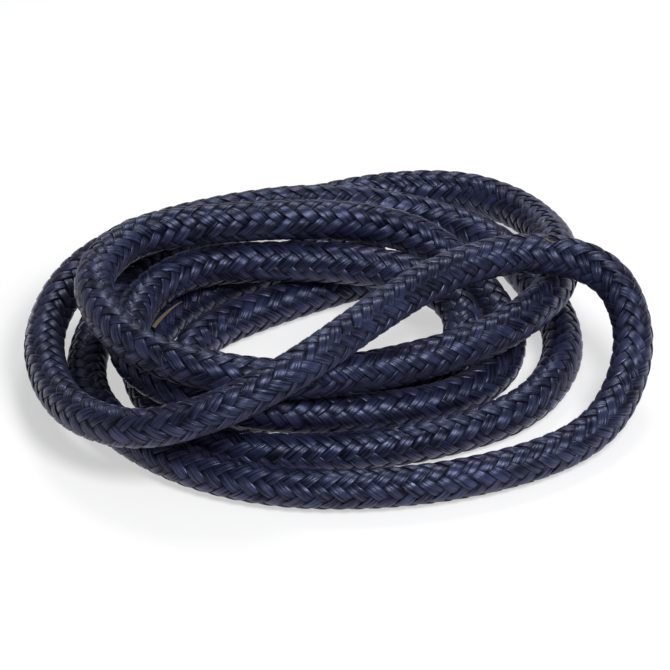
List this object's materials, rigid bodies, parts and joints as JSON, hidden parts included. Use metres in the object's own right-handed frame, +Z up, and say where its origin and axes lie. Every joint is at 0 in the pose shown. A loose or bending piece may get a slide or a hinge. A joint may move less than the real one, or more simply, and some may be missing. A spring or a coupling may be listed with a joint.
{
  "type": "coiled dock line",
  "caption": "Braided mooring line laid down by hand in a loose, flat, oblong coil that lies on its own turns, with both cut ends tucked inside.",
  "frame": {"origin": "on the floor under the middle of the coil's box", "axes": "+Z up out of the floor, +X along the coil's longer side, +Y away from the side the picture was taken from"},
  "size_m": [0.184, 0.1772, 0.042],
  "materials": {
    "cover": "satin braided nylon",
    "core": "matte braided nylon",
    "whipping": "waxed twine",
    "melted_tip": "fused nylon"
  },
  "bodies": {
    "root": {"cover_first_turn": "cover", "cover_crossing_turn": "cover", "cover_outer_turn": "cover", "cover_upper_turn": "cover", "cover_middle_turn": "cover", "cover_inner_turn": "cover", "core_first_turn": "core", "core_crossing_turn": "core", "core_outer_turn": "core", "core_upper_turn": "core", "core_middle_turn": "core", "core_inner_turn": "core", "whipping_inner_end": "whipping", "whipping_outer_end": "whipping", "melted_tip_inner_end": "melted_tip", "melted_tip_outer_end": "melted_tip"}
  },
  "joints": []
}
